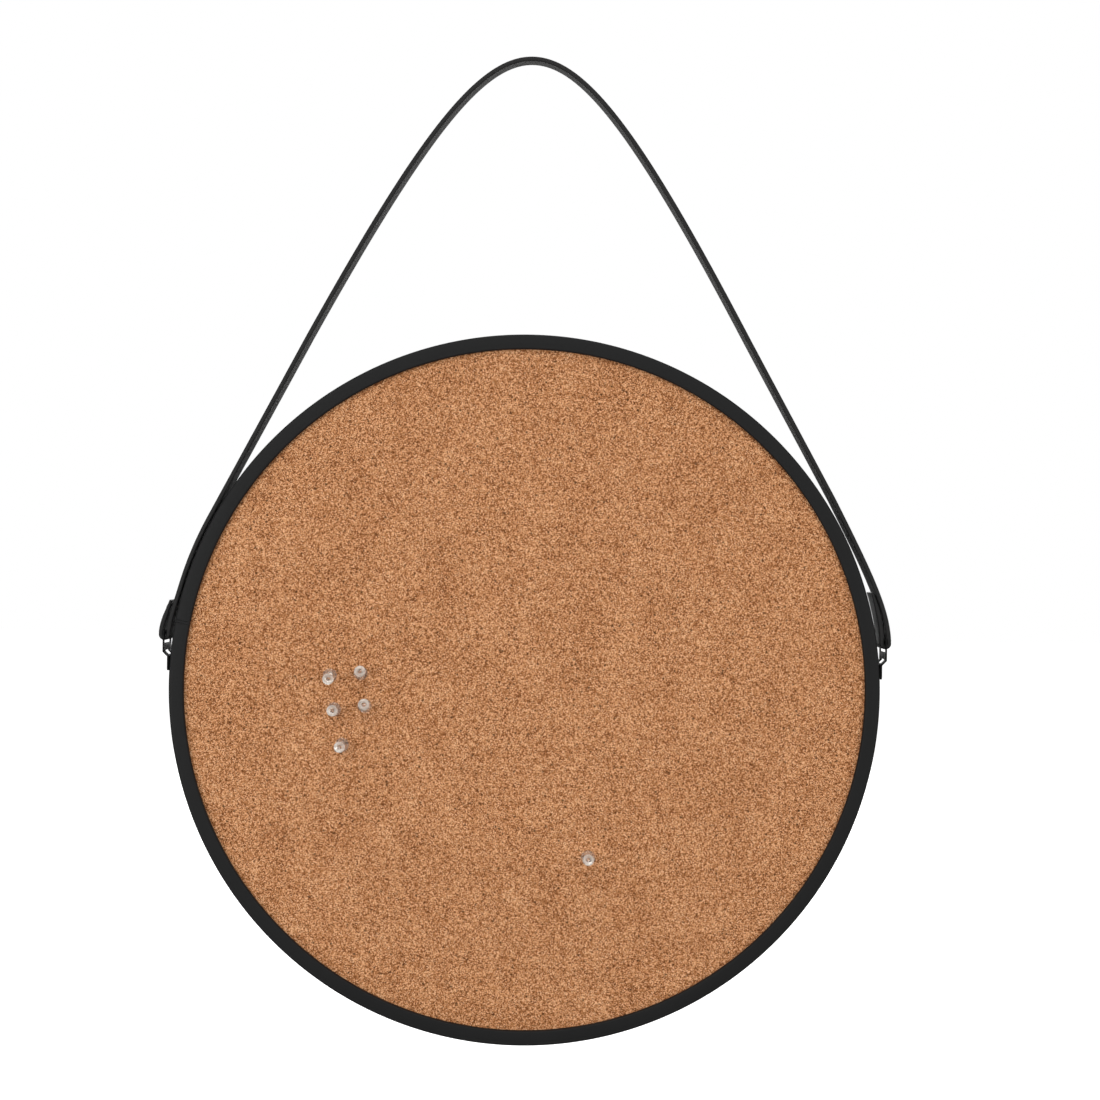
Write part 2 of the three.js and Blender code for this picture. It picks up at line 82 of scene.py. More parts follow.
class Shader:
    """A material being built round a Principled shader, with textures in millimetres."""

    def __init__(self, name, **constants):
        self.material = bpy.data.materials.new(name)
        self.material.use_nodes = True
        self.tree = self.material.node_tree
        self.surface = self.tree.nodes["Principled BSDF"]
        for socket, value in constants.items():
            self.surface.inputs[socket.replace("_", " ")].default_value = value
        self.place = self.add("ShaderNodeTexCoord").outputs["Object"]

    def add(self, kind, sockets=None, **settings):
        """A new node; a socket takes a value, or the output of another node."""
        node = self.tree.nodes.new(kind)
        for key, value in settings.items():
            setattr(node, key, value)
        for key, value in (sockets or {}).items():
            if isinstance(value, bpy.types.NodeSocket):
                self.tree.links.new(value, node.inputs[key])
            else:
                node.inputs[key].default_value = value
        return node

    def stretched(self, x, y, z):
        """The place in the object, drawn out by these factors along each axis."""
        scale = (1 / x, 1 / y, 1 / z)
        return self.add("ShaderNodeMapping", {"Vector": self.place, "Scale": scale}).outputs[0]

    def noise(self, size_mm, detail=2.0, roughness=0.5, place=None):
        sockets = {"Vector": place or self.place, "Scale": 1000 / size_mm,
                   "Detail": detail, "Roughness": roughness}
        return self.add("ShaderNodeTexNoise", sockets).outputs[0]

    def cells(self, size_mm, place=None, feature="F1"):
        """A cell texture: its distance output, and its random colour for each cell."""
        sockets = {"Vector": place or self.place, "Scale": 1000 / size_mm}
        node = self.add("ShaderNodeTexVoronoi", sockets, feature=feature)
        return node.outputs[0], node.outputs[1]

    def part(self, colour, channel=0):
        """One channel of a colour, as a number from 0 to 1."""
        return self.add("ShaderNodeSeparateColor", {0: colour}).outputs[channel]

    def math(self, operation, a, b):
        return self.add("ShaderNodeMath", {0: a, 1: b}, operation=operation).outputs[0]

    def blend(self, factor, a, b):
        """A number between a and b."""
        return self.add("ShaderNodeMix", {0: factor, 2: a, 3: b}, data_type="FLOAT").outputs[0]

    def mix(self, factor, a, b, blend_type="MIX"):
        """A colour between a and b."""
        sockets = {0: factor, 6: a, 7: b}
        return self.add("ShaderNodeMix", sockets, data_type="RGBA", blend_type=blend_type).outputs[2]

    def ramp(self, factor, *stops):
        """A colour ramp through (position, linear colour) stops."""
        node = self.add("ShaderNodeValToRGB", {0: factor})
        elements = node.color_ramp.elements
        while len(elements) < len(stops):
            elements.new(0.5)
        for element, (position, colour) in zip(elements, stops):
            element.position = position
            element.color = (*colour, 1)
        return node.outputs[0]

    def step(self, value, start, end):
        """0 below start, 1 above end, smooth between."""
        sockets = {0: value, 1: start, 2: end, 3: 0.0, 4: 1.0}
        node = self.add("ShaderNodeMapRange", sockets, interpolation_type="SMOOTHSTEP")
        return node.outputs[0]

    def bump(self, *layers):
        """Relief from (height, depth in millimetres) layers, the first one underneath."""
        normal = None
        for height, depth in layers:
            sockets = {"Height": height, "Distance": depth * MM}
            if normal is not None:
                sockets["Normal"] = normal
            normal = self.add("ShaderNodeBump", sockets).outputs[0]
        self.set(Normal=normal)

    def set(self, **sockets):
        for socket, value in sockets.items():
            self.tree.links.new(value, self.surface.inputs[socket.replace("_", " ")])


def grey(value):
    return (value, value, value)


def cork_material():
    """Pressed cork: granules two thirds of a millimetre across, each its own shade, and bark flecks."""
    s = Shader("pressed_cork", Specular_IOR_Level=0.18)
    swirl = s.add("ShaderNodeTexNoise", {"Vector": s.place, "Scale": 700.0}).outputs[1]
    warped = s.mix(0.0012, s.place, swirl, "ADD")
    edge, shade = s.cells(0.66, warped)
    fine = s.noise(0.42, 2.0, 0.7)
    granule = s.blend(0.4, s.part(shade), fine)
    clump = s.noise(24, 3.0)
    tone = s.math("ADD", granule, s.math("MULTIPLY", s.math("SUBTRACT", clump, 0.5), 0.16))
    colour = s.ramp(tone,
                    (0.125, (0.062, 0.0155, 0.004)),
                    (0.35, (0.24, 0.083, 0.027)),
                    (0.5, (0.447, 0.188, 0.074)),
                    (0.66, (0.635, 0.31, 0.142)),
                    (0.875, (0.83, 0.52, 0.3)))
    fleck_edge, fleck_shade = s.cells(2.7, warped)
    rare = s.step(s.part(fleck_shade, 1), 0.955, 0.975)
    core = s.math("SUBTRACT", 1.0, s.step(fleck_edge, 0.2, 0.36))
    fleck = s.math("MULTIPLY", rare, core)
    colour = s.mix(s.math("MULTIPLY", fleck, 0.8), colour, (0.06, 0.022, 0.009, 1))
    s.set(Base_Color=colour, Roughness=s.blend(fine, 0.82, 0.97))
    s.bump((clump, 0.12), (granule, 0.14), (edge, -0.1))
    return s.material


def powder_coat(name, low, high, gloss, shine):
    """Black powder coat: a fine orange-peel texture, faint smudges and a few specks of dust."""
    s = Shader(name, Specular_IOR_Level=shine)
    peel = s.noise(0.55, 3.0, 0.55)
    smudge = s.noise(38, 4.0, 0.6)
    dust_edge, dust_shade = s.cells(9)
    dusty = s.math("MULTIPLY", s.step(s.part(dust_shade), 0.965, 0.975),
                   s.math("SUBTRACT", 1.0, s.step(dust_edge, 0.02, 0.045)))
    colour = s.mix(smudge, (*low, 1), (*high, 1))
    colour = s.mix(s.math("MULTIPLY", dusty, 0.55), colour, (0.32, 0.31, 0.3, 1))
    s.set(Base_Color=colour, Roughness=s.blend(smudge, gloss - 0.05, gloss + 0.07))
    s.bump((smudge, 0.03), (peel, 0.022))
    return s.material


def zinc_steel():
    """Zinc-plated steel with rolling marks and dull patches."""
    s = Shader("zinc_steel", Metallic=1.0)
    patch = s.noise(6, 3.0, 0.6)
    marks = s.noise(0.5, 2.0, 0.6, s.stretched(6, 1, 1))
    colour = s.ramp(patch, (0.3, (0.5, 0.51, 0.53)), (0.7, (0.66, 0.67, 0.68)))
    s.set(Base_Color=colour, Roughness=s.blend(marks, 0.26, 0.46))
    s.bump((marks, 0.01))
    return s.material


def leather(name, low, high, grain_mm, relief, roughness):
    """Dark leather: pebbled grain with finer pores, mottled in colour, with soft creases."""
    s = Shader(name, Specular_IOR_Level=0.3)
    grain_edge, grain_shade = s.cells(grain_mm, feature="SMOOTH_F1")
    pores = s.noise(grain_mm * 0.45, 3.0, 0.7)
    mottle = s.noise(7, 4.0, 0.65)
    tone = s.math("ADD", s.math("MULTIPLY", mottle, 0.65), s.math("MULTIPLY", pores, 0.35))
    colour = s.ramp(tone, (0.32, low), (0.68, high))
    colour = s.mix(s.math("MULTIPLY", s.part(grain_shade), 0.25), colour, (*low, 1))
    s.set(Base_Color=colour, Roughness=s.blend(mottle, roughness - 0.07, roughness + 0.08))
    s.bump((mottle, 0.16), (grain_edge, relief), (pores, relief * 0.5))
    return s.material


def leather_edge():
    """The strap's cut edge, dyed and rubbed smooth, with faint layers along its length."""
    s = Shader("leather_cut_edge", Specular_IOR_Level=0.22)
    fibres = s.noise(0.6, 3.0, 0.6)
    mottle = s.noise(5, 3.0)
    colour = s.ramp(s.blend(0.4, mottle, fibres), (0.3, grey(0.006)), (0.7, (0.0125, 0.012, 0.0115)))
    s.set(Base_Color=colour, Roughness=s.blend(mottle, 0.5, 0.68))
    s.bump((mottle, 0.08), (fibres, 0.05))
    return s.material


def waxed_thread():
    s = Shader("waxed_thread", Roughness=0.55)
    twist = s.add("ShaderNodeTexWave", {"Vector": s.place, "Scale": 620.0, "Distortion": 1.5},
                  bands_direction="DIAGONAL").outputs[1]
    s.set(Base_Color=s.ramp(twist, (0.2, grey(0.045)), (0.8, grey(0.16))))
    s.bump((twist, 0.08))
    return s.material


def clear_plastic(name, clearness, gloss):
    """Clear moulded plastic, with a faint cloud and fine scratches from handling."""
    s = Shader(name, Transmission_Weight=clearness, IOR=1.49)
    cloud = s.noise(1.6, 3.0, 0.6)
    scratch = s.noise(0.4, 2.0, 0.6, s.stretched(1, 1, 8))
    s.set(Base_Color=s.ramp(cloud, (0.35, (0.76, 0.7, 0.62)), (0.65, (0.99, 0.96, 0.9))),
          Roughness=s.blend(scratch, gloss, gloss + 0.14))
    s.bump((cloud, 0.05))
    return s.material


def hardboard():
    """Smooth brown hardboard: pressed fibres, darker patches and a light scuff here and there."""
    s = Shader("hardboard", Specular_IOR_Level=0.35)
    fibres = s.noise(1.1, 4.0, 0.75, s.stretched(3, 1, 1))
    cross = s.noise(1.3, 4.0, 0.7, s.stretched(1, 1, 4))
    patch = s.noise(90, 5.0, 0.6)
    tone = s.blend(0.2, s.blend(0.5, fibres, cross), patch)
    colour = s.ramp(tone, (0.36, (0.08, 0.037, 0.016)), (0.5, (0.15, 0.075, 0.036)),
                    (0.64, (0.25, 0.14, 0.074)))
    s.set(Base_Color=colour, Roughness=s.blend(patch, 0.5, 0.66))
    s.bump((fibres, 0.05), (cross, 0.05))
    return s.material


def softboard():
    """Grey-brown wood fibre board."""
    s = Shader("softboard", Roughness=0.95)
    fibres = s.noise(0.9, 5.0, 0.8)
    s.set(Base_Color=s.ramp(fibres, (0.3, (0.14, 0.1, 0.065)), (0.7, (0.34, 0.26, 0.18))))
    s.bump((fibres, 0.3))
    return s.material


# ---- Mesh tools ----

MERGE_REACH = 1e-7  # metres; closer points become one
FLAT_ANGLE = math.radians(1)
SHARP_ANGLE = math.radians(28)


def piece(name, mesh, material, body, replaced=(), sharp_angle=35):
    """A finished piece: smooth faces with sharp creases, riding on a CAD body."""
    materials = material if isinstance(material, (list, tuple)) else [material]
    for one in materials:
        mesh.materials.append(one)
    mesh.polygons.foreach_set("use_smooth", [True] * len(mesh.polygons))
    mesh.set_sharp_from_angle(angle=math.radians(sharp_angle))
    obj = bpy.data.objects.new(name, mesh)
    bpy.context.scene.collection.objects.link(obj)
    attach(obj, body)
    if replaced:
        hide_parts(*replaced)
    return obj


def mesh_of(name, verts, faces):
    """A checked mesh with its faces outwards."""
    mesh = bpy.data.meshes.new(name)
    mesh.from_pydata([tuple(v) for v in verts], [], faces)
    mesh.validate()
    return outward(mesh)


def outward(mesh):
    """Turns every face outwards."""
    work = bmesh.new()
    work.from_mesh(mesh)
    bmesh.ops.recalc_face_normals(work, faces=work.faces)
    work.to_mesh(mesh)
    work.free()
    return mesh


def turned(name, outline, steps, start=0.0, sweep=2 * math.pi):
    """A body of revolution about Y from closed [radius, y] points, or a part of one with flat ends."""
    whole = sweep > 2 * math.pi - 1e-6
    count = len(outline)
    rings = steps if whole else steps + 1
    verts, faces = [], []
    for i in range(rings):
        angle = start + sweep * i / steps
        verts += [(r * math.cos(angle), y, r * math.sin(angle)) for r, y in outline]
    for i in range(steps):
        here, there = i * count, (i + 1) % rings * count
        for k in range(count):
            n = (k + 1) % count
            faces.append((here + k, here + n, there + n, there + k))
    if not whole:
        faces += [tuple(range(count)), tuple(range((rings - 1) * count, rings * count))]
    mesh = bpy.data.meshes.new(name)
    mesh.from_pydata(verts, [], faces)
    work = bmesh.new()
    work.from_mesh(mesh)
    bmesh.ops.remove_doubles(work, verts=work.verts, dist=MERGE_REACH)
    bmesh.ops.dissolve_degenerate(work, edges=work.edges, dist=MERGE_REACH)
    bmesh.ops.recalc_face_normals(work, faces=work.faces)
    work.to_mesh(mesh)
    work.free()
    return mesh


def corner(x, y, radius, start, end, steps):
    """Points of a rounded corner round (x, y), from one angle to another in degrees."""
    angles = [math.radians(start + (end - start) * i / steps) for i in range(steps + 1)]
    return [(x + radius * math.cos(a), y + radius * math.sin(a)) for a in angles]


def circle_points(x, z, radius, count):
    """Points evenly round a circle."""
    angles = [2 * math.pi * i / count for i in range(count)]
    return [(x + radius * math.cos(a), z + radius * math.sin(a)) for a in angles]


def cut_by(mesh, cutter_mesh):
    """The mesh with another mesh cut out of it."""
    target = bpy.data.objects.new("cut_target", mesh)
    cutter = bpy.data.objects.new("cut_tool", cutter_mesh)
    for obj in (target, cutter):
        bpy.context.scene.collection.objects.link(obj)
    modifier = target.modifiers.new("cut", "BOOLEAN")
    modifier.operation = "DIFFERENCE"
    modifier.solver = "EXACT"
    modifier.object = cutter
    graph = bpy.context.evaluated_depsgraph_get()
    result = bpy.data.meshes.new_from_object(target.evaluated_get(graph))
    result.name = mesh.name
    for obj in (target, cutter):
        bpy.data.objects.remove(obj)
    return result


def prism(name, outline, y0, y1):
    """A straight bar along Y from an outline of (x, z) points."""
    count = len(outline)
    verts = [(x, y, z) for y in (y0, y1) for x, z in outline]
    faces = [(k, (k + 1) % count, count + (k + 1) % count, count + k) for k in range(count)]
    faces += [tuple(range(count)), tuple(range(count, 2 * count))]
    return mesh_of(name, verts, faces)


def softened(node, width):
    """A copy of a CAD node's mesh, with its flat faces whole and its edges rounded."""
    mesh = frame["nodes"][node].data.copy()
    mesh.materials.clear()
    work = bmesh.new()
    work.from_mesh(mesh)
    bmesh.ops.remove_doubles(work, verts=work.verts, dist=10 * MERGE_REACH)
    bmesh.ops.dissolve_limit(work, angle_limit=FLAT_ANGLE, verts=work.verts, edges=work.edges)
    sharp = [e for e in work.edges if len(e.link_faces) == 2 and e.calc_face_angle() > SHARP_ANGLE]
    bmesh.ops.bevel(work, geom=sharp, offset=width, segments=2, profile=0.5, affect="EDGES",
                    clamp_overlap=True)
    bmesh.ops.triangulate(work, faces=[f for f in work.faces if len(f.verts) > 4])
    bmesh.ops.recalc_face_normals(work, faces=work.faces)
    work.to_mesh(mesh)
    work.free()
    return mesh


# ---- Frame ----

def ring_outline():
    """The channel's section: a flat face, a rounded outer corner, and a rolled lip on the cork."""
    outer, wall = RING_R, RING_WALL
    inner, lip_y = RING_R - FACE_WIDTH, FRONT_Y + LIP_DEPTH
    rear_r, outer_r, inner_r, lip_r = 0.4 * MM, 1.2 * MM, 1.0 * MM, 0.3 * MM
    return [
        *corner(outer - rear_r, REAR_Y - rear_r, rear_r, 90, 0, 3),
        *corner(outer - outer_r, FRONT_Y + outer_r, outer_r, 0, -90, 7),
        *corner(inner + inner_r, FRONT_Y + inner_r, inner_r, -90, -180, 6),
        *corner(inner + lip_r, lip_y - lip_r, lip_r, 180, 90, 3),
        *corner(inner + wall - lip_r, lip_y - lip_r, lip_r, 90, 0, 3),
        (inner + wall, FRONT_Y + wall),
        (outer - wall, FRONT_Y + wall),
        *corner(outer - wall + rear_r, REAR_Y - rear_r, rear_r, 180, 90, 3),
    ]


def frame_ring(material):
    slit = JOINT_SLIT / RING_R
    mesh = turned("ring_frame", ring_outline(), 400, JOINT_ANGLE + slit / 2, 2 * math.pi - slit)
    mesh.transform(Matrix.Translation((0, 0, RING_Z)))
    piece("ring_frame", mesh, material, "board", ["frame_ring"])


# ---- Cork sheet ----

def needle_places():
    """Where each needle enters the cork, as (x, z)."""
    places = []
    for i in range(1, PIN_COUNT + 1):
        axis = pin_axis(i)
        tip = needle_tip(i)
        reach = (tip.y - cork_low.y) / -axis.y
        entry = tip + axis * reach
        places.append((entry.x, entry.z))
    return places


def cork_sheet(material):
    """A disc with a very slight unevenness, and a fine hole where each needle enters."""
    radius = (cork_high.x - cork_low.x) / 2
    holes = needle_places()
    hole_r, hole_clear, rim_clear = 0.62 * MM, 4 * MM, 2 * MM
    points = circle_points(0, RING_Z, radius, 256)
    for x, z in holes:
        for reach in (hole_r, 1.3 * MM, 3 * MM):
            points += circle_points(x, z, reach, 16)
    spacing, row_rise = 6 * MM, 0.87
    rows = int(radius / spacing) + 1
    for row in range(-rows, rows + 1):
        for column in range(-rows, rows + 1):
            x = (column + 0.5 * (row % 2)) * spacing
            z = row * spacing * row_rise
            clear = all(math.hypot(x - hx, z + RING_Z - hz) > hole_clear for hx, hz in holes)
            if math.hypot(x, z) < radius - rim_clear and clear:
                points.append((x, z + RING_Z))
    flat, _, triangles, *_ = delaunay_2d_cdt([Vector(p) for p in points], [], [], 0, MERGE_REACH)

    def in_hole(triangle):
        centre = sum((flat[i] for i in triangle), Vector((0, 0))) / 3
        return any(math.hypot(centre.x - x, centre.y - z) < hole_r * 0.95 for x, z in holes)

    work = bmesh.new()
    verts = [work.verts.new((p.x, cork_low.y + rise(p), p.y)) for p in flat]
    for triangle in triangles:
        if not in_hole(triangle):
            work.faces.new([verts[i] for i in triangle])
    loose = [v for v in work.verts if not v.link_faces]
    bmesh.ops.delete(work, geom=loose, context="VERTS")
    front = list(work.faces)
    made = bmesh.ops.extrude_face_region(work, geom=front)
    for vert in (g for g in made["geom"] if isinstance(g, bmesh.types.BMVert)):
        vert.co.y = cork_high.y
    bmesh.ops.recalc_face_normals(work, faces=work.faces)
    mesh = bpy.data.meshes.new("cork")
    work.to_mesh(mesh)
    work.free()
    piece("cork_sheet_face", mesh, material, "board", ["cork_sheet"], 60)


def rise(p):
    """How far the cork's face stands back at a point, in waves of a few hundredths of a millimetre."""
    broad = perlin(Vector((p.x * 60, p.y * 60, 0.3)))
    close = perlin(Vector((p.x * 160, p.y * 160, 4.1)))
    return (0.06 + 0.04 * (broad + 0.5 * close)) * MM


# ---- Strap ----

STRAP_WIDTH = 20 * MM
STRAP_THICK = 3 * MM
SKIVE_LENGTH = 24 * MM  # the tails are pared thinner over half of this
CROWN_TOP = STRAP_THICK / 2 - RING_Z  # the middle layer's height above the ring's centre
CROWN_STEEPNESS = 2.07
CROWN_ROUNDING = 78 * MM
CROWN_HALF_WIDTH = 155 * MM
CROWN_TIP = math.tan(math.radians(5.5))
CROWN_TIP_REACH = 95 * MM
HUG_R = 253 * MM
HUG_END = math.radians(16)
LOOP_R = 2.5 * MM
LOOP_X = 254 * MM
LOOP_Z = 35.8 * MM
STITCH_ROW = 6.5 * MM
STITCH_HEIGHTS = [h * MM for h in (45, 48.4, 51.8, 55.2)]


def bend(start, start_way, start_handle, end, end_way, end_handle, steps):
    """A cubic curve in millimetres; ways are degrees from straight up, towards +X."""
    def handle(point, way, reach):
        return Vector(point) + reach * Vector((math.sin(math.radians(way)), math.cos(math.radians(way))))
    a, b = Vector(start), handle(start, start_way, start_handle)
    c, d = handle(end, end_way, end_handle), Vector(end)
    curve = []
    for i in range(steps + 1):
        t = i / steps
        u = 1 - t
        curve.append((u ** 3 * a + 3 * u * u * t * b + 3 * u * t * t * c + t ** 3 * d) * MM)
    return curve


def arc(x, z, radius, start, end, steps):
    """Points round (x, z) from one angle to another in radians."""
    angles = [start + (end - start) * i / steps for i in range(steps + 1)]
    return [Vector((x + radius * math.cos(a), z + radius * math.sin(a))) for a in angles]


def strap_stretches():
    """The strap's middle layer from the right tail to the left tail, as named stretches of points."""
    lx, lz, lr = LOOP_X / MM, LOOP_Z / MM, LOOP_R / MM
    crown = []
    for i in range(121):
        x = CROWN_HALF_WIDTH * (1 - i / 60)
        z = CROWN_TOP - CROWN_STEEPNESS * (math.hypot(x, CROWN_ROUNDING) - CROWN_ROUNDING)
        crown.append(Vector((x, z)))
    end = crown[-1]
    hug_start = math.atan2(end.y, -end.x) - math.acos(HUG_R / end.length)
    hug = arc(0, 0, HUG_R, math.pi - hug_start, math.pi - HUG_END, 16)
    straight = [end.lerp(hug[0], i / 12) for i in range(1, 12)]
    hug_end = (hug[-1].x / MM, hug[-1].y / MM)
    right_rise = bend((lx + lr, lz), -2, 23, (216, 137), 152.5, 62, 40)
    rise_on = [right_rise[-1].lerp(crown[0], i / 12) for i in range(1, 12)]
    return {
        "right_tail": bend((244, 71.6), 158, 12, (lx - lr, lz), 0, 11, 24),
        "right_loop": arc(LOOP_X, LOOP_Z, LOOP_R, math.pi, 2 * math.pi, 24)[1:-1],
        "right_rise": right_rise + rise_on,
        "crown": crown,
        "left_straight": straight,
        "left_hug": hug,
        "left_fall": bend(hug_end, 196, 12, (-lx + lr, lz), 4, 10, 24)[1:],
        "left_loop": arc(-LOOP_X, LOOP_Z, LOOP_R, 0, -math.pi, 24)[1:-1],
        "left_tail": bend((-lx - lr, lz), 0, 8, (-249.9, 60), 196, 9, 20),
    }


def line_normals(line):
    """Each point's direction square to the line, on its left."""
    normals = []
    for i, _ in enumerate(line):
        way = (line[min(i + 1, len(line) - 1)] - line[max(i - 1, 0)]).normalized()
        normals.append(Vector((-way.y, way.x)))
    return normals


def strap_point(p, y):
    """A point of the strap in space: the crown's front edge rolls down over the hook."""
    share = math.cos(min(abs(p.x) / CROWN_TIP_REACH, 1) * math.pi / 2) ** 2
    return Vector((p.x, y, RING_Z + p.y + y * CROWN_TIP * share))


def strap_section():
    """The strap's section as (across, through) points, its four long edges rounded."""
    half, thick, r = STRAP_WIDTH / 2, STRAP_THICK / 2, 0.75 * MM
    across = [share * half for share in (-0.66, -0.33, 0, 0.33, 0.66)]
    return [
        *corner(-half + r, thick - r, r, 180, 90, 4),
        *[(x, thick) for x in across],
        *corner(half - r, thick - r, r, 90, 0, 4),
        *corner(half - r, -thick + r, r, 0, -90, 4),
        *[(-x, -thick) for x in across],
        *corner(-half + r, -thick + r, r, -90, -180, 4),
    ]


def strap(stretches, materials):
    """The leather: its section swept along every stretch, wandering a little from side to side."""
    line = [p for stretch in stretches.values() for p in stretch]
    normals = line_normals(line)
    section = strap_section()
    count = len(section)
    verts, faces = [], []
    length = 0.0
    whole_length = sum((b - a).length for a, b in zip(line, line[1:]))
    for i, (p, n) in enumerate(zip(line, normals)):
        length += (p - line[i - 1]).length if i else 0
        thin = min(1, 0.5 + min(length, whole_length - length) / SKIVE_LENGTH)
        wander = 0.18 * MM * perlin(Vector((length * 22, 0.7, 0)))
        for across, through in section:
            verts.append(strap_point(p + n * through * thin, across + wander))
    for i in range(len(line) - 1):
        here, there = i * count, (i + 1) * count
        for k in range(count):
            n = (k + 1) % count
            faces.append((here + k, here + n, there + n, there + k))
    faces += [tuple(range(count)), tuple(range((len(line) - 1) * count, len(line) * count))]
    mesh = mesh_of("strap", verts, faces)
    grain, flesh, edge = 0, 1, 2
    kinds = []
    for k in range(count):
        a, b = section[k], section[(k + 1) % count]
        across, through = abs(a[0] + b[0]) / 2, (a[1] + b[1]) / 2
        if across > STRAP_WIDTH / 2 - 0.35 * MM:
            kinds.append(edge)
        else:
            kinds.append(flesh if through > 0 else grain)
    whole = (len(line) - 1) * count
    for i, polygon in enumerate(mesh.polygons):
        polygon.material_index = kinds[i % count] if i < whole else edge
    piece("strap_leather", mesh, materials, "strap_hanger", ["strap"], 50)


def stitches(stretches, material):
    """Two rows of saddle stitch down each fold, on the faces of both layers."""
    verts, faces = [], []
    for stretch in ("right_tail", "right_rise", "left_tail", "left_fall"):
        line = stretches[stretch]
        normals = line_normals(line)
        for height in STITCH_HEIGHTS:
            i = min(range(len(line)), key=lambda k: abs(line[k].y - height))
            way = Vector((normals[i].y, -normals[i].x))
            for facing in (-normals[i], normals[i]):
                for across in (-STITCH_ROW, STITCH_ROW):
                    add_stitch(verts, faces, line[i], way, facing, across)
    mesh = mesh_of("stitches", verts, faces)
    piece("strap_stitches", mesh, material, "strap_hanger", (), 60)


def add_stitch(verts, faces, centre, way, facing, across):
    """One stitch: a short rounded thread lying on the leather's face."""
    length, radius, rounds, around = 2.7 * MM, 0.36 * MM, 8, 8
    base = len(verts)
    lift = STRAP_THICK / 2 + 0.02 * MM
    for i in range(rounds + 1):
        along = math.cos(math.pi * i / rounds)
        girth = max(math.sin(math.pi * i / rounds), 0.02) ** 0.6
        for k in range(around):
            a = 2 * math.pi * k / around
            p = centre + facing * (lift + radius * girth * math.sin(a) * 0.8) + way * along * length / 2
            verts.append(strap_point(p, across + radius * girth * math.cos(a)))
    for i in range(rounds):
        for k in range(around):
            n = (k + 1) % around
            here, there = base + i * around, base + (i + 1) * around
            faces.append((here + k, here + n, there + n, there + k))
    faces.append(tuple(range(base, base + around)))
    faces.append(tuple(range(base + rounds * around, base + (rounds + 1) * around)))


# ---- Hanger hardware ----

def hanger_screw(side, material):
    """A countersunk screw with a hexagon socket; its axis is turned from Y to X."""
    shank, head, cone, length = 1.5 * MM, 2.8 * MM, 1.3 * MM, 8 * MM
    pitch, thread_depth, chamfer = 0.5 * MM, 0.24 * MM, 0.4 * MM
    thread = []
    y = -length + chamfer
    while y < -cone - 2 * pitch:
        thread += [(shank, y), (shank - thread_depth, y + pitch / 2)]
        y += pitch
    outline = [(0, -length), (shank - chamfer, -length), *thread, (shank, y), (shank, -cone),
               (head - 0.08 * MM, -0.1 * MM), (head - 0.03 * MM, -0.02 * MM), (head - 0.12 * MM, 0),
               (0, 0)]
    mesh = turned("hanger_screw", outline, 40)
    socket_r, socket_depth = 1.1 * MM, 1 * MM
    hexagon = circle_points(0, 0, socket_r, 6)
    mesh = cut_by(mesh, prism("socket", hexagon, -socket_depth, socket_depth))
    place = Matrix.Translation((SCREW_HEAD_X, 0, SCREW_Z)) @ Matrix.Rotation(-math.pi / 2, 4, "Z")
    mesh.transform(Matrix.Diagonal((SIDES[side], 1, 1, 1)) @ place)
    piece(f"countersunk_screw_{side}", outward(mesh), material, "board", [f"hanger_screw_{side}"],
          30)


def hanger_hardware(black, steel):
    for side in SIDES:
        plate = softened(f"hanger_plate_{side}", 0.18 * MM)
        piece(f"slotted_plate_{side}", plate, black, "strap_hanger", [f"hanger_plate_{side}"],
              40)
        hanger_screw(side, black)
        nut = softened(f"hanger_nut_{side}", 0.2 * MM)
        piece(f"hex_nut_{side}", nut, steel, "board", [f"hanger_nut_{side}"], 40)


# ---- Back ----

def tab_screw_mesh():
    """A pan head screw about Y with its thread, point towards the front and a cross in its head."""
    low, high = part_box("tab_screw_2")  # all six screws are alike, so any one gives their depths
    head_r, head_h, rim_h, shank = 3 * MM, 1.3 * MM, 0.45 * MM, 1.5 * MM
    pitch, thread_depth, point_length = 1.1 * MM, 0.4 * MM, 2.2 * MM
    seat = high.y - head_h
    root = shank - thread_depth
    thread = []
    y = low.y + point_length
    while y < seat - 1.5 * pitch:
        thread += [(root, y), (shank, y + pitch * 0.45), (root, y + pitch * 0.6)]
        y += pitch
    dome = [(head_r * math.cos(a), seat + rim_h + (head_h - rim_h) * math.sin(a))
            for a in (math.pi / 2 * i / 8 for i in range(9))]
    outline = [(0, low.y), *thread, (shank - 0.3 * MM, seat), (head_r - 0.1 * MM, seat), *dome[:-1],
               (0, high.y)]
    mesh = turned("tab_screw", outline, 40)
    reach, half_width, cross_depth = 1.7 * MM, 0.36 * MM, 0.8 * MM
    bar = [(-reach, -half_width), (reach, -half_width), (reach, half_width), (-reach, half_width)]
    for turn in (0, math.pi / 2):
        arm = prism("cross", bar, high.y - cross_depth, high.y + 1 * MM)
        arm.transform(Matrix.Rotation(turn, 4, "Y"))
        mesh = cut_by(mesh, arm)
    return outward(mesh)


def back(steel):
    screw = tab_screw_mesh()
    random.seed(7)
    for i in range(1, TAB_COUNT + 1):
        tab = softened(f"retaining_tab_{i}", 0.16 * MM)
        piece(f"steel_tab_{i}", tab, steel, "board", [f"retaining_tab_{i}"], 40)
        low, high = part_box(f"tab_screw_{i}")
        mesh = screw.copy()
        place = Matrix.Translation(((low.x + high.x) / 2, 0, (low.z + high.z) / 2))
        mesh.transform(place @ Matrix.Rotation(random.uniform(0, math.pi / 2), 4, "Y"))
        piece(f"pan_head_screw_{i}", mesh, steel, "board", [f"tab_screw_{i}"], 30)


# ---- Push pins ----

NEEDLE_LENGTH = 16.5 * MM
NEEDLE_IN = 6 * MM
HEAD_HEIGHT = 12.5 * MM


def pin_axis(i):
    """The direction that pin i is pulled, out of the cork."""
    joint = next(j for j in frame["joints"] if j["name"] == f"pin_{i}_pull")
    return Vector(joint["axis"]).normalized()


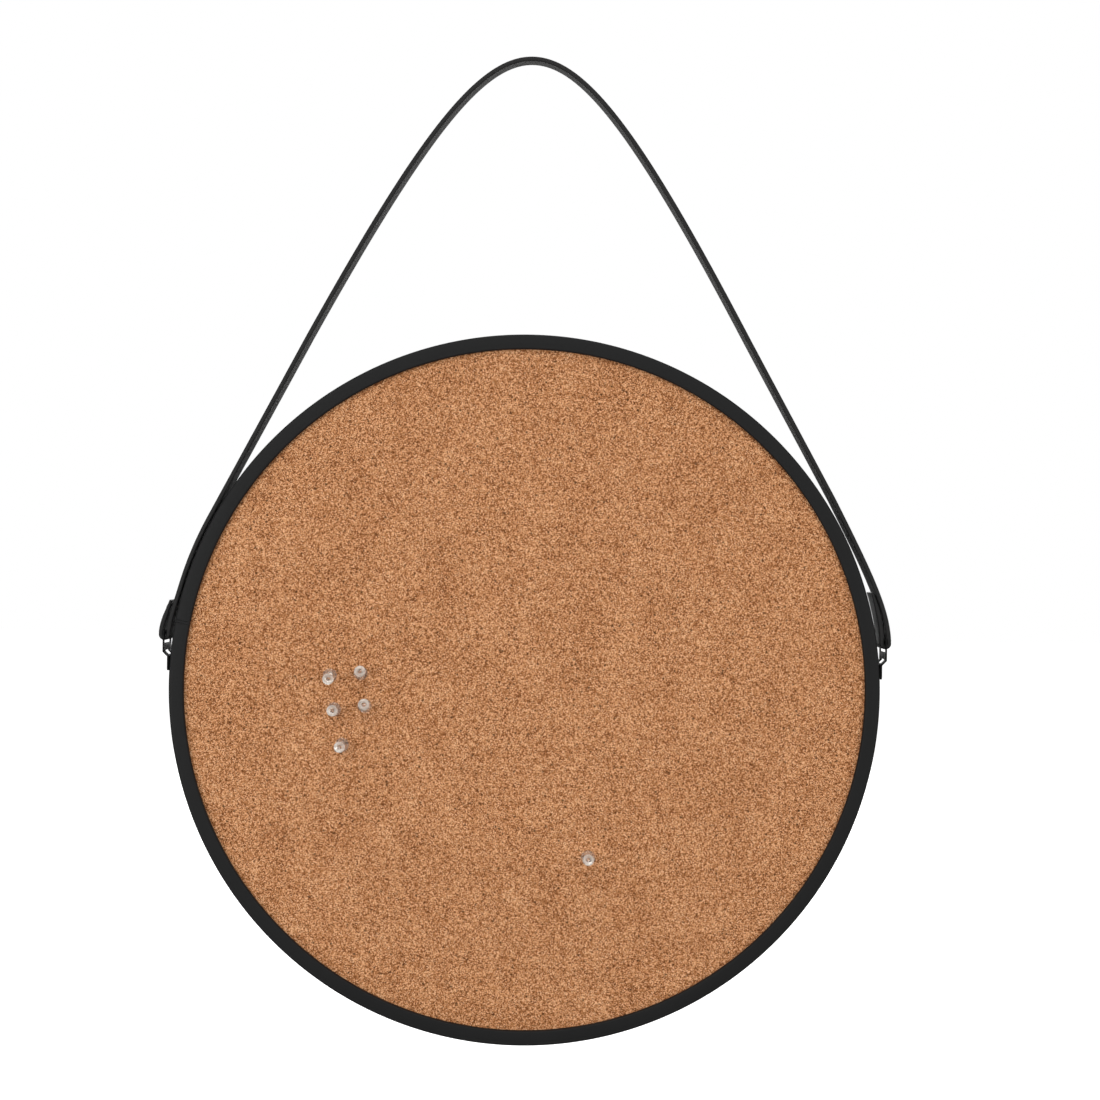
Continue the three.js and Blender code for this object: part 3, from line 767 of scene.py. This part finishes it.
def needle_tip(i):
    """The point of pin i: the needle's vertex that lies deepest along its axis."""
    axis = pin_axis(i)
    return min((v.co.copy() for v in frame["nodes"][f"pin_needle_{i}"].data.vertices),
               key=lambda p: p.dot(axis))


def smooth_outline(points, steps):
    """A Catmull-Rom curve through [radius, y] points."""
    p = [Vector(v) for v in (points[0], *points, points[-1])]
    curve = []
    for a, b, c, d in zip(p, p[1:], p[2:], p[3:]):
        for k in range(steps):
            t = k / steps
            v = 0.5 * (2 * b + (c - a) * t + (2 * a - 5 * b + 4 * c - d) * t * t
                       + (3 * b - a - 3 * c + d) * t ** 3)
            curve.append((max(v.x, 0), v.y))
    return [*curve, tuple(p[-1])]


def pin_head_mesh():
    """The moulded head, its underside at the origin and its top towards -Y, with the needle's bore."""
    neck = smooth_outline([(3.3 * MM, -1.75 * MM), (2.65 * MM, -3.3 * MM), (2.45 * MM, -5.2 * MM),
                           (2.75 * MM, -7.4 * MM), (3.45 * MM, -9.4 * MM), (3.95 * MM, -10.9 * MM)], 5)
    top, bore, bore_end = -HEAD_HEIGHT, 0.6 * MM, -NEEDLE_IN - 0.1 * MM
    dimple_r, dimple_depth, clear_r, frost_depth = 2.1 * MM, 1.1 * MM, 1.3 * MM, 0.75 * MM
    dimple = [(share * dimple_r, top + dimple_depth * (1 - share) ** 0.7)
              for share in (0.9, 0.7, 0.5, 0.3, 0.12)]
    outline = [
        (bore, bore_end), (bore, 0), (4.4 * MM, 0),
        *corner(4.55 * MM, -0.35 * MM, 0.35 * MM, 90, -40, 6),
        (4.3 * MM, -0.98 * MM), (3.9 * MM, -1.25 * MM),
        *neck,
        *corner(3.5 * MM, -11.95 * MM, 0.5 * MM, 0, -80, 6),
        (2.6 * MM, top), (2.2 * MM, top + 0.02 * MM),
        *dimple, (0, top + dimple_depth), (0, bore_end),
    ]
    mesh = turned("pin_head", outline, 64)
    clear, frosted = 0, 1
    for polygon in mesh.polygons:
        place = polygon.center
        on_rim = place.y < top + frost_depth and math.hypot(place.x, place.z) > clear_r
        polygon.material_index = frosted if on_rim else clear
    return mesh


def needle_mesh():
    """A steel needle on the same axis, ground to a long point."""
    r, out = 0.55 * MM, NEEDLE_LENGTH - NEEDLE_IN
    outline = [(0, -NEEDLE_IN), (r * 0.9, -NEEDLE_IN), (r, -NEEDLE_IN + 0.1 * MM), (r, out - 3 * MM),
               (r * 0.86, out - 2.2 * MM), (r * 0.62, out - 1.3 * MM), (r * 0.3, out - 0.5 * MM),
               (0, out)]
    return turned("needle", outline, 24)


def push_pins(plastics, steel):
    head, needle = pin_head_mesh(), needle_mesh()
    for i in range(1, PIN_COUNT + 1):
        axis = pin_axis(i)
        origin = needle_tip(i) + axis * (NEEDLE_LENGTH - NEEDLE_IN)
        turn = Vector((0, -1, 0)).rotation_difference(axis).to_matrix().to_4x4()
        place = Matrix.Translation(origin) @ turn
        for name, source, node, material, slot in (
                (f"push_pin_head_{i}", head, f"pin_head_{i}", plastics, "clear_plastic"),
                (f"push_pin_needle_{i}", needle, f"pin_needle_{i}", steel, "zinc_steel")):
            mesh = source.copy()
            mesh.transform(place)
            piece(name, mesh, material, f"pin_{i}", [node], 40)


# ---- Camera, light and stage ----

def camera():
    """Level, right of and above the ring's centre, and rolled by what the board hangs askew."""
    distance, seen_width, roll = 1.3, 0.7726, math.radians(0.75)
    aside, above = 16.8 * MM, 98.7 * MM
    data = bpy.data.cameras.new("camera")
    data.sensor_width = 36
    data.lens = data.sensor_width * distance / seen_width
    obj = bpy.data.objects.new("camera", data)
    bpy.context.scene.collection.objects.link(obj)
    right = Vector((math.cos(roll), 0, math.sin(roll)))
    up = Vector((-math.sin(roll), 0, math.cos(roll)))
    turn = Matrix((right, up, right.cross(up))).transposed().to_4x4()
    place = Matrix.Translation((aside, FRONT_Y - distance, RING_Z + above))
    obj.matrix_world = place @ turn
    bpy.context.scene.camera = obj


def area_light(name, place, aim, size, watts):
    data = bpy.data.lights.new(name, "AREA")
    data.shape = "DISK"
    data.size = size
    data.energy = watts
    obj = bpy.data.objects.new(name, data)
    bpy.context.scene.collection.objects.link(obj)
    obj.location = place
    obj.rotation_mode = "QUATERNION"
    obj.rotation_quaternion = (Vector(aim) - Vector(place)).to_track_quat("-Z", "Y")


def studio():
    """A white room: bright behind the object, dimmer where it lights and is reflected."""
    aim = (0, 0, RING_Z)
    area_light("key", (-1.4, -2.1, -0.35), aim, size=1.4, watts=27)
    area_light("fill", (1.5, -2.1, -0.35), aim, size=1.4, watts=19)
    area_light("front", (-0.2, -2.1, 1.2), aim, size=1.4, watts=19)
    area_light("top", (0, 0.1, 1.7), aim, size=1.6, watts=22)
    area_light("back", (0.05, 2.4, 0.35), aim, size=1.8, watts=34)
    world = bpy.data.worlds.new("studio")
    bpy.context.scene.world = world
    world.use_nodes = True
    nodes, links = world.node_tree.nodes, world.node_tree.links
    nodes.clear()
    seen, lighting = nodes.new("ShaderNodeBackground"), nodes.new("ShaderNodeBackground")
    seen.inputs["Color"].default_value = (1, 1, 1, 1)
    lighting.inputs["Color"].default_value = (1, 0.995, 0.985, 1)
    lighting.inputs["Strength"].default_value = 0.4
    rays, choice = nodes.new("ShaderNodeLightPath"), nodes.new("ShaderNodeMixShader")
    output = nodes.new("ShaderNodeOutputWorld")
    links.new(rays.outputs["Is Camera Ray"], choice.inputs[0])
    links.new(lighting.outputs[0], choice.inputs[1])
    links.new(seen.outputs[0], choice.inputs[2])
    links.new(choice.outputs[0], output.inputs["Surface"])
    bpy.context.scene.view_settings.view_transform = "Standard"


def floor():
    """A wide pale floor a little below the board."""
    half, drop = 8.0, 0.09
    z = ring_low.z - drop
    mesh = mesh_of("floor", [(-half, -half, z), (half, -half, z), (half, half, z), (-half, half, z)],
                   [(0, 1, 2, 3)])
    s = Shader("pale_floor", Roughness=0.9, Specular_IOR_Level=0.1, Emission_Strength=0.75)
    s.surface.inputs["Emission Color"].default_value = (1, 1, 1, 1)
    s.set(Base_Color=s.ramp(s.noise(400, 2.0), (0.3, grey(0.84)), (0.7, grey(0.87))))
    mesh.materials.append(s.material)
    obj = bpy.data.objects.new("floor", mesh)
    bpy.context.scene.collection.objects.link(obj)
    obj.visible_diffuse = obj.visible_glossy = False


def repaint(node, material):
    """Gives a CAD node that stays as it is a better material."""
    slots = frame["nodes"][node].data.materials
    slots.clear()
    slots.append(material)


# ---- The object ----

camera()
studio()
floor()

black_frame = powder_coat("frame_powder_coat", grey(0.0055), (0.0088, 0.009, 0.0092), 0.56, 0.17)
black_hardware = powder_coat("hardware_coat", grey(0.004), grey(0.009), 0.58, 0.07)
steel = zinc_steel()

frame_ring(black_frame)
repaint("frame_joint_key", black_frame)
cork_sheet(cork_material())
repaint("core_board", softboard())
repaint("back_panel", hardboard())

stretches = strap_stretches()
leathers = [
    leather("leather_grain", grey(0.008), (0.02, 0.0195, 0.019), 0.9, 0.07, 0.5),
    leather("leather_flesh", (0.013, 0.0125, 0.012), (0.045, 0.044, 0.042), 0.6, 0.09, 0.78),
    leather_edge(),
]
strap(stretches, leathers)
stitches(stretches, waxed_thread())

hanger_hardware(black_hardware, steel)
back(steel)
plastics = [clear_plastic("clear_plastic", 0.93, 0.06), clear_plastic("frosted_plastic", 0.7, 0.12)]
push_pins(plastics, steel)
